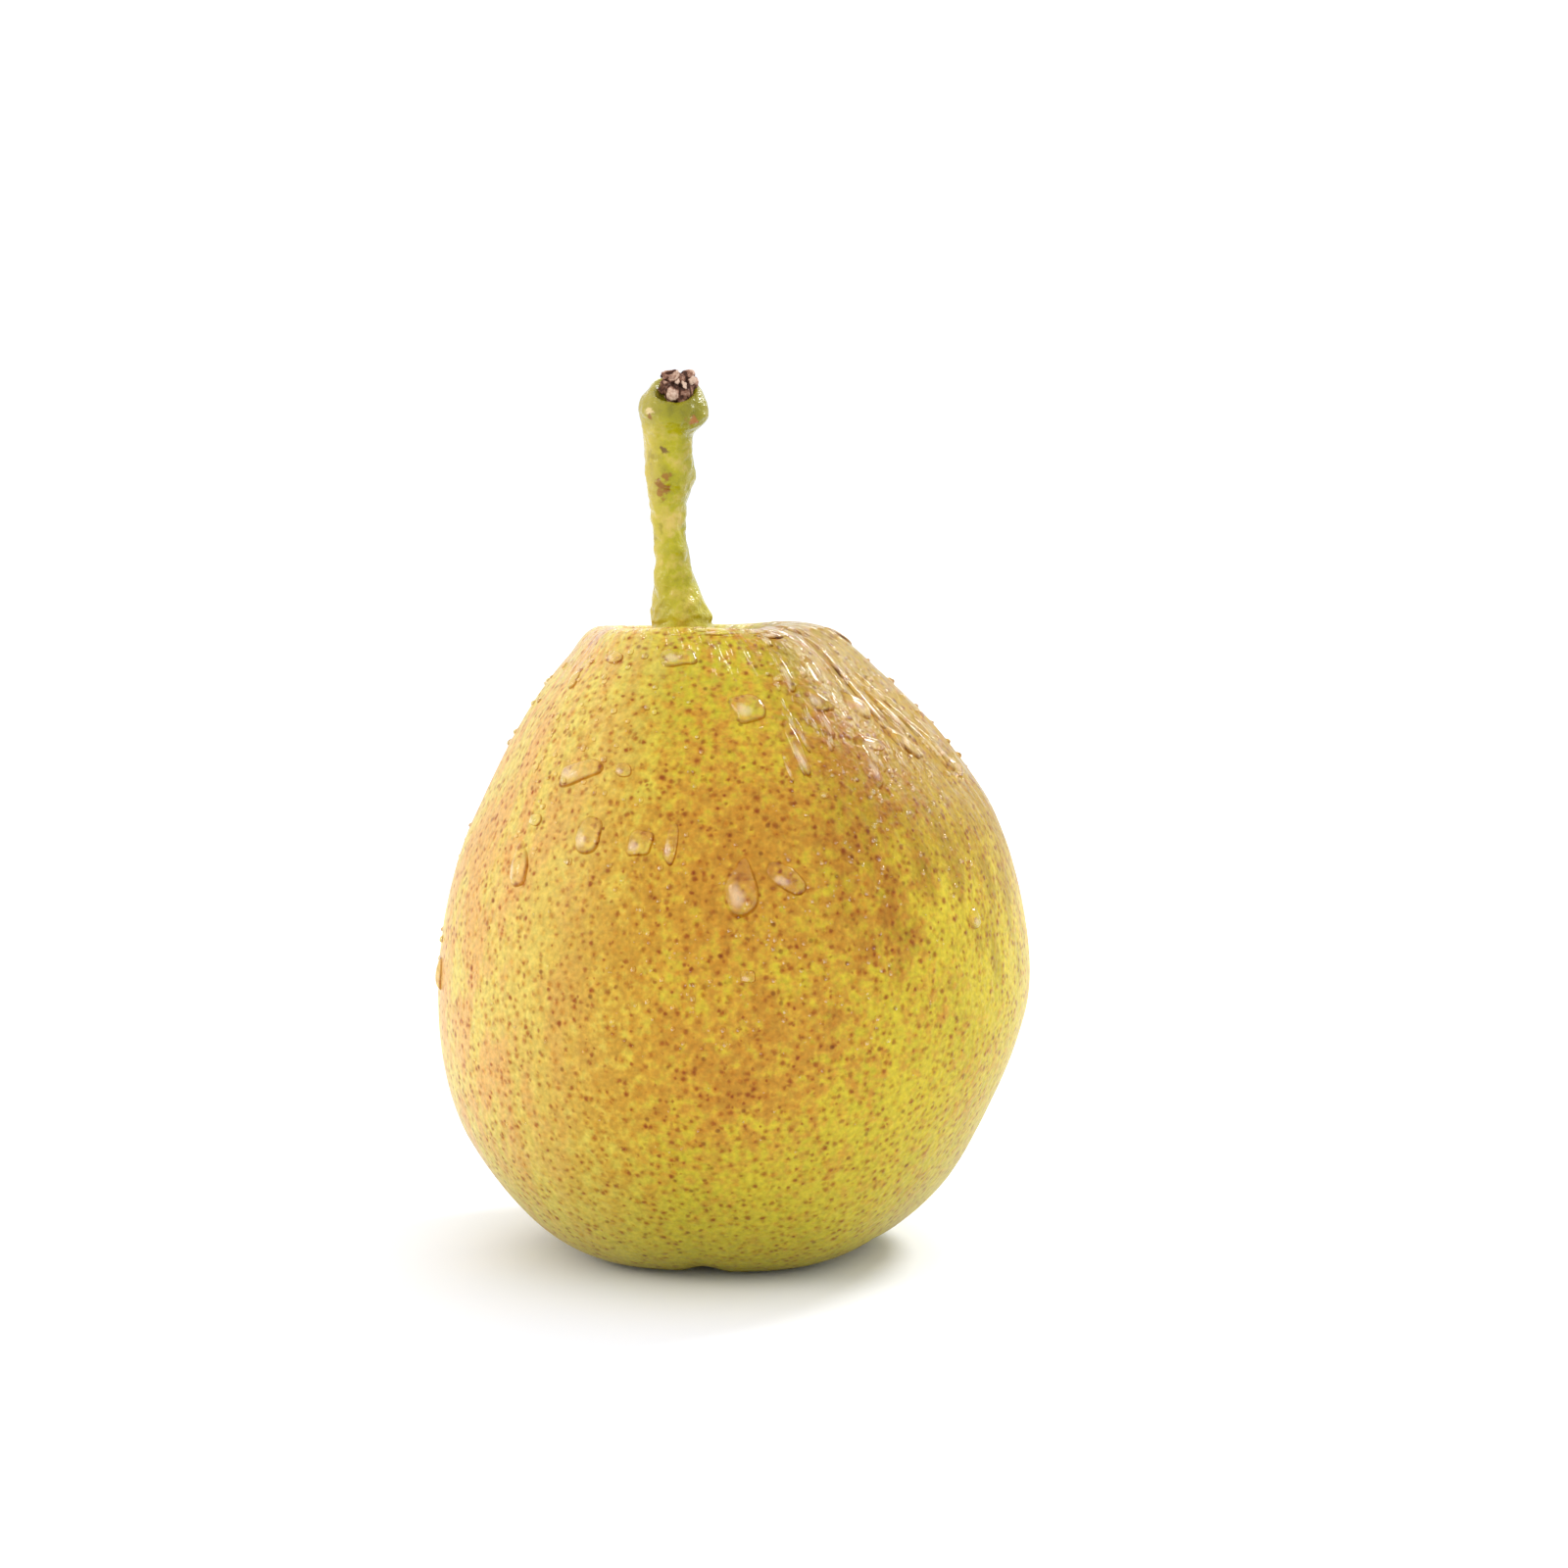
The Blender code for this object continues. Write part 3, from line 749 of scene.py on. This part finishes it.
def corkMesh():
    # a crumbly plug: crumbs of cork standing at their own heights between dark cracks
    radius = cork["radius"]
    model = bmesh.new()
    tone = model.verts.layers.float.new("tone")
    bmesh.ops.create_uvsphere(model, u_segments=cork["sides"], v_segments=cork["rings"], radius=1.0)
    for vert in model.verts:
        way = vert.co.copy()
        up = math.copysign(abs(way.z) ** cork["squareness"], way.z)
        point = Vector((way.x * radius, way.y * radius, up * cork["height"] / 2))
        gaps, centres = noise.voronoi(point / cork["chip"])
        own = noise.cell(centres[0] * 5)
        whole = ease((gaps[1] - gaps[0]) / cork["crackWidth"])
        push = sum(much * noise.noise(point / length + Vector((7, 3, 1)))
                   for length, much in cork["crags"])
        push += cork["chipRise"] * (own - 0.5) + cork["crackDepth"] * (whole - 1)
        vert.co = point + way * push
        vert[tone] = whole * (0.35 + 0.65 * own)
    rng = random.Random(cork["seed"])
    for k in range(cork["loose"]):
        turn = rng.uniform(0, 2 * math.pi)
        out = radius * rng.uniform(0.3, 0.9)
        crumb = bmesh.ops.create_icosphere(model, subdivisions=3, radius=1.0)["verts"]
        size = Vector([rng.uniform(*span) for span in cork["looseSize"]])
        lean = Euler((rng.uniform(-0.6, 0.6), rng.uniform(-0.6, 0.6), turn))
        foot = Vector((out * math.cos(turn), out * math.sin(turn), 0.46 * cork["height"]))
        own = rng.uniform(0.3, 0.9)
        for vert in crumb:
            shape = vert.co * size
            shape *= 1 + 0.8 * noise.noise(shape / 0.25 + Vector((k, 0, 0)))
            shape.rotate(lean)
            vert.co = shape + foot
            vert[tone] = own
    spin = Euler((math.radians(cork["tilt"]), 0, 0))
    sideways, height = cork["middle"]
    for vert in model.verts:
        vert.co.rotate(spin)
        vert.co = (vert.co + Vector((sideways, 0, height))) * mm
    return newMesh("stemCork", model)


def corkMaterial():
    # dead cork, dried and crumbled: matt, dark in its cracks and pinkish grey where it chipped
    material, tree, shader = newMaterial("dry crumbled cork",
                                         {"Roughness": 0.8, "Specular IOR Level": 0.3})
    place = addNode(tree, "TexCoord").outputs["Object"]
    crumbs = addNode(tree, "TexNoise", {"size": 0.3, "Detail": 3.0}, {"Vector": place})
    tone = addNode(tree, "Attribute", {"attribute_name": "tone"}).outputs["Fac"]
    uneven = addNode(tree, "MapRange", {"range": (0.3, 0.7, -0.22, 0.22)}, {"Value": crumbs})
    mixed = addNode(tree, "Math", {"operation": "ADD"}, {0: tone, 1: uneven})
    colour = addNode(tree, "ValToRGB", {"stops": cork["tones"]}, {"Fac": mixed})
    bump = addNode(tree, "Bump", {"Strength": 0.9, "Distance": 0.12 * mm}, {"Height": crumbs})
    feed(tree, shader, {"Base Color": colour, "Normal": bump})
    return material


# ---- the dried flower in the eye ----
flower = {
    "cup": (
        # radius and depth, from the root round the lip to the floor inside
        (0.25, 0.0), (1.56, 0.0), (2.35, 0.45), (2.6, 1.0), (2.5, 1.6), (2.4, 2.0), (2.15, 2.05),
        (1.9, 1.7), (1.5, 1.1), (0.25, 0.9),
    ),
    "cupSides": 64,
    "stamens": 9,
    "stamenRing": 0.95,
    "stamenRadius": (0.14, 0.09),      # at its root and its tip
    "stamenLength": (0.9, 1.3),
    "stamenDepth": 0.8,
    "sepals": 5,
    "sepalStart": 2.5,                 # from the middle of the eye
    "sepalLength": 2.4,
    "sepalWidth": 1.9,
    "sepalThick": 0.22,
    "seed": 11,
    "tones": ((0.35, "#1c120c"), (0.52, "#3c2a1c"), (0.70, "#6e4f30")),
}


def flowerMaterial():
    # dried petal stubs and sepals: papery, matt, nearly black in the folds
    material, tree, shader = newMaterial("dried flower remains", {"Roughness": 0.8})
    place = addNode(tree, "TexCoord").outputs["Object"]
    fibres = addNode(tree, "TexNoise", {"size": 0.5, "Detail": 4.0}, {"Vector": place})
    colour = addNode(tree, "ValToRGB", {"stops": flower["tones"]}, {"Fac": fibres})
    bump = addNode(tree, "Bump", {"Strength": 0.8, "Distance": 0.1 * mm}, {"Height": fibres})
    feed(tree, shader, {"Base Color": colour, "Normal": bump})
    return material


def calyxMesh():
    # a shrivelled cup, mouth down, with the stubs of its stamens inside
    low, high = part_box("calyx")
    middle = (low + high) / 2 / mm
    top = high.z / mm
    sides = flower["cupSides"]
    rows = []
    for radius, depth in flower["cup"]:
        row = []
        for side in range(sides):
            turn = 2 * math.pi * side / sides
            out = Vector((math.cos(turn), math.sin(turn), 0))
            crinkle = 1 + 0.06 * math.sin(9 * turn)
            crinkle += 0.08 * noise.noise(out * 3 + Vector((0, 0, depth)))
            row.append((Vector((middle.x, middle.y, top - depth)) + out * radius * crinkle) * mm)
        rows.append(row[::-1])
    model = closedTube(rows)
    rng = random.Random(flower["seed"])
    rootRadius, tipRadius = flower["stamenRadius"]
    root = Vector((middle.x, middle.y, top - flower["stamenDepth"]))
    for k in range(flower["stamens"]):
        turn = 2 * math.pi * k / flower["stamens"] + rng.uniform(-0.3, 0.3)
        foot = flower["stamenRing"] * Vector((math.cos(turn), math.sin(turn), 0))
        stub = bmesh.ops.create_cone(model, cap_ends=True, segments=8, radius1=tipRadius,
                                     radius2=rootRadius, depth=1.0)
        length = rng.uniform(*flower["stamenLength"])
        for vert in stub["verts"]:
            hang = 0.5 - vert.co.z
            bent = Vector((vert.co.x, vert.co.y, -hang * length)) + foot * (1 + 0.5 * hang * hang)
            vert.co = (bent + root) * mm
    return newMesh("driedCalyx", model)


def sepalMesh(number):
    # a curled, pointed blade with its edges turned up
    low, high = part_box("sepal_%d" % number)
    middle = (low + high) / 2
    hub = (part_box("calyx")[0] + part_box("calyx")[1]) / 2
    turn = math.atan2(middle.y - hub.y, middle.x - hub.x)
    along = Vector((math.cos(turn), math.sin(turn), 0))
    across = Vector((-math.sin(turn), math.cos(turn), 0))
    start = hub / mm + along * flower["sepalStart"]
    start.z = high.z / mm - 0.2
    model = bmesh.new()
    bmesh.ops.create_grid(model, x_segments=14, y_segments=8, size=0.5)
    for vert in model.verts:
        out = vert.co.x + 0.5      # 0 at its root, 1 at its point
        side = vert.co.y * 2
        width = flower["sepalWidth"] * (1 - ease(out)) ** 0.7 * (0.75 + 0.5 * out) + 0.06
        fold = 0.28 * side * side - 0.75 * out - 0.5 * out * out
        crinkle = 0.12 * noise.noise(Vector((out * 4, side * 2, number)))
        vert.co = (start + along * (out * flower["sepalLength"]) + across * (side * width / 2)
                   + Vector((0, 0, fold + crinkle))) * mm
    return newMesh("driedSepal%d" % number, model)


# ---- water left from rinsing ----
water = {
    "drops": (
        # height, turn, wide, tall, thick, roll, tail
        (52.4, -128, 5.0, 2.7, 1.15, 22, 0.10),
        (46.9, -122, 2.9, 3.9, 1.10, -6, 0.05),
        (46.5, -110, 2.9, 2.8, 0.95, 0, 0.00),
        (46.5, -103, 1.6, 4.0, 0.70, -8, 0.15),
        (42.4, -88, 3.6, 5.6, 1.75, 0, 0.45),
        (43.5, -79, 4.4, 2.4, 0.90, -28, 0.10),
        (34.5, -87, 1.7, 1.3, 0.60, 0, 0.00),
        (43.6, -139, 2.6, 4.6, 1.00, 24, 0.20),
        (47.6, -138, 1.9, 1.4, 0.65, 0, 0.00),
        (63.0, -103, 3.8, 2.6, 0.85, 0, 0.00),
        (63.2, -130, 2.0, 1.6, 0.60, 0, 0.00),
        (60.8, -147, 1.6, 2.6, 0.60, 20, 0.20),
        (58.6, -80, 3.6, 3.6, 0.95, 10, 0.10),
        (59.4, -58, 2.4, 4.0, 0.90, 25, 0.25),
        (58.6, -42, 2.6, 4.0, 0.85, 35, 0.25),
        (54.6, -31, 6.2, 2.0, 1.05, -42, 0.10),
        (55.0, -48, 4.2, 1.8, 0.75, -15, 0.10),
        (51.8, -12, 2.0, 2.8, 1.00, 0, 0.20),
        (30.0, -170, 2.0, 3.8, 0.75, 0, 0.15),
        (52.9, -116, 1.9, 1.6, 0.55, 0, 0.00),
        (38.0, -35, 1.8, 2.2, 0.70, 0, 0.10),
        (56.5, 40, 3.0, 3.8, 1.00, 10, 0.25),
        (47.0, 75, 2.4, 3.4, 0.95, 0, 0.30),
        (52.0, 130, 3.2, 2.6, 0.95, -15, 0.10),
        (40.0, 160, 2.2, 3.4, 0.90, 5, 0.30),
    ),
    "fields": (
        # height from and to, turn from and to, how many, widest, how drawn out
        (27, 47, -114, -58, 210, 0.7, 1.0),
        (40, 58, -80, -28, 130, 0.7, 1.0),
        (44, 64, -150, -95, 110, 0.8, 1.0),
        (50, 64, -70, 10, 90, 1.0, 1.0),
        (52, 64, -74, -6, 50, 0.8, 4.0),
        (53, 63.5, -72, -8, 34, 1.5, 5.0),
        (64, 65.7, -80, 60, 50, 0.8, 3.0),
        (65.2, 65.75, -112, -28, 18, 3.0, 0.25),
        (16, 40, -150, -40, 90, 0.5, 1.0),
        (30, 63, 20, 190, 200, 0.8, 1.1),
    ),
    "seed": 23,
    "squareness": 0.78,        # 1 for an ellipse, less for squarer drops
    "wobble": (0.10, 0.08, 0.07, 0.04),   # unevenness of the outline, in 2 to 5 waves round it
    "spread": 0.72,            # wet skin lets the drops lie flatter
    "dome": (2.2, 0.7),        # how flat the top is and how steep the side
    "sag": 0.35,               # a drop is fuller low down
    "beadHeight": 0.38,        # of a small one, as a share of its width
    "sunk": (0.03, 0.12),      # how deep the rim and the base lie in the skin
    "runsFrom": 1.5,           # droplets drawn out more than this bend with the skin
    "dropMesh": (14, 40),      # rings and sides
    "runMesh": (5, 20),
    "beadMesh": (5, 12),
    "clear": "#ffffff",
    "gathered": "#fff0d4",     # light that the dome throws on its lower left
    "upper": "#f6e2b4",        # painted shade: the skin seen through the dome's top is darker
    # painted shade: a dark edge on the lower right of each drop
    "rim": "#a06c20",
}


def waterMaterial():
    # clear water: the skin shows through, with painted shade at the rim and over the top, and
    # painted light where the dome throws it on its lower left
    material, tree, shader = newMaterial("clear water", {"Roughness": 0.0, "IOR": 1.333})
    place = addNode(tree, "TexCoord").outputs["Object"]
    ripple = addNode(tree, "TexNoise", {"size": 3, "Detail": 1.0}, {"Vector": place})
    bump = addNode(tree, "Bump", {"Strength": 0.15, "Distance": 0.05 * mm}, {"Height": ripple})
    # lens holds the place within its drop: across, up, and from middle to rim
    lens = addNode(tree, "Attribute", {"attribute_name": "lens"}).outputs["Vector"]
    parts = addNode(tree, "SeparateXYZ", None, {0: lens})
    # painted shade over the top of each drop
    upper = addNode(tree, "MapRange", {"smooth": (0.0, 0.8)}, {"Value": parts.outputs["Y"]})
    colour = addNode(tree, "Mix", {6: water["clear"], 7: water["upper"]}, {0: upper})
    off = addNode(tree, "VectorMath", {"operation": "DISTANCE", 1: (-0.28, -0.35, 0.45)}, {0: lens})
    bright = addNode(tree, "MapRange", {"smooth": (0.6, 0.1)}, {"Value": off.outputs["Value"]})
    colour = addNode(tree, "Mix", {7: water["gathered"]}, {0: bright, 6: colour})
    # painted shade: a dark rim on each drop's lower right
    side = addNode(tree, "VectorMath", {"operation": "DOT_PRODUCT", 1: (0.62, -0.5, 0)}, {0: lens})
    side = addNode(tree, "MapRange", {"smooth": (-0.45, 0.45, 0.3)},
                   {"Value": side.outputs["Value"]})
    rim = addNode(tree, "MapRange", {"smooth": (0.78, 0.93)}, {"Value": parts.outputs["Z"]})
    rim = addNode(tree, "Math", {"operation": "MULTIPLY"}, {0: rim, 1: side})
    colour = addNode(tree, "Mix", {7: water["rim"]}, {0: rim, 6: colour})
    clearness = addNode(tree, "MapRange", {"range": (0.0, 1.0, 1.0, 0.72)}, {"Value": bright})
    feed(tree, shader, {"Base Color": colour, "Normal": bump, "Transmission Weight": clearness})
    return material


def addDrop(model, lens, rng, drop, fineness, follow):
    # a lens of water on the skin: a domed top over a flat base sunk just under the skin
    height, turn, wide, tall, thick, roll, tail = drop
    rings, sides = fineness
    flat, steep = water["dome"]
    rimSunk, baseSunk = water["sunk"]
    turn = math.radians(turn)
    roll = math.radians(roll)
    arc = arcAtHeight(height)
    girth = profileAt(arc)[0]
    point, normal, around, upward = skinFrame(turn, arc)
    wobble = [(rng.uniform(0, much), rng.uniform(0, 2 * math.pi)) for much in water["wobble"]]
    loops = []
    for ring in range(rings + 1):
        share = ring / rings
        loop = []
        for side in range(sides if ring else 1):
            angle = 2 * math.pi * side / sides
            edge = 1 + sum(much * math.cos((k + 2) * angle + start)
                           for k, (much, start) in enumerate(wobble))
            across, up = (math.copysign(abs(way) ** water["squareness"], way)
                          for way in (math.cos(angle), math.sin(angle)))
            across *= 0.5 * wide * (1 - tail * max(0.0, math.sin(angle))) * edge
            up *= 0.5 * tall * edge
            across, up = (across * math.cos(roll) - up * math.sin(roll),
                          across * math.sin(roll) + up * math.cos(roll))
            dome = thick * (1 - share ** flat) ** steep
            dome *= 1 - water["sag"] * share * math.sin(angle)
            within = Vector((across / (0.5 * wide), up / (0.5 * tall))) * share
            lift = dome if ring < rings else -rimSunk
            if follow:
                place, out, _, _ = skinFrame(turn + share * across / girth, arc + share * up)
            else:
                place = point + (around * across + upward * up) * share * mm
                out = normal
            vert = model.verts.new(place + out * lift * mm)
            vert[lens] = (*within, share)
            loop.append(vert)
        loops.append(loop)
    base = model.verts.new(point - normal * baseSunk * mm)
    wrapRings(model, [[base], *loops[::-1]])


def dropsMesh():
    model = bmesh.new()
    lens = model.verts.layers.float_vector.new("lens")
    rng = random.Random(water["seed"])
    for *outline, thick, roll, tail in water["drops"]:
        drop = (*outline, water["spread"] * thick, roll, tail)
        addDrop(model, lens, rng, drop, water["dropMesh"], True)
    return newMesh("waterDrops", model)


def mistMesh():
    # small droplets scattered between the drops, and short runs of water
    model = bmesh.new()
    lens = model.verts.layers.float_vector.new("lens")
    rng = random.Random(water["seed"] + 1)
    for low, high, first, last, count, widest, drawn in water["fields"]:
        isRun = max(drawn, 1 / drawn) > water["runsFrom"]
        fineness = water["runMesh"] if isRun else water["beadMesh"]
        for _ in range(count):
            wide = widest * rng.uniform(0.35, 1.0) ** 1.5
            tall = wide * drawn * rng.uniform(0.8, 1.3)
            thick = water["beadHeight"] * min(wide, tall)
            drop = (rng.uniform(low, high), rng.uniform(first, last), wide, tall, thick, 0, 0)
            addDrop(model, lens, rng, drop, fineness, isRun)
    return newMesh("waterMist", model)


def main():
    buildStudio()
    print("camera, table and lights are set")
    addPiece("pearSkin", pearMesh(), skinMaterial(), ["pear_body"])
    print("the pear's body has its skin")
    addPiece("stemFlesh", stemMesh(), stemMaterial(), ["stem"])
    addPiece("stemCork", corkMesh(), corkMaterial(), ["stem_tip"])
    print("the stem and its dry end are on")
    dried = flowerMaterial()
    addPiece("driedCalyx", calyxMesh(), dried, ["calyx"])
    for number in range(1, flower["sepals"] + 1):
        sepal = addPiece("driedSepal%d" % number, sepalMesh(number), dried,
                         ["sepal_%d" % number])
        thick = sepal.modifiers.new("Thick", "SOLIDIFY")
        thick.thickness = flower["sepalThick"] * mm
        thick.offset = 0
    print("the dried flower is in the eye")
    clear = waterMaterial()
    for name, mesh in (("waterDrops", dropsMesh()), ("waterMist", mistMesh())):
        drops = addPiece(name, mesh, clear, [])
        drops.visible_shadow = False      # so the skin under the water is lit
        drops.visible_diffuse = False
    print("the water is on the skin")


main()
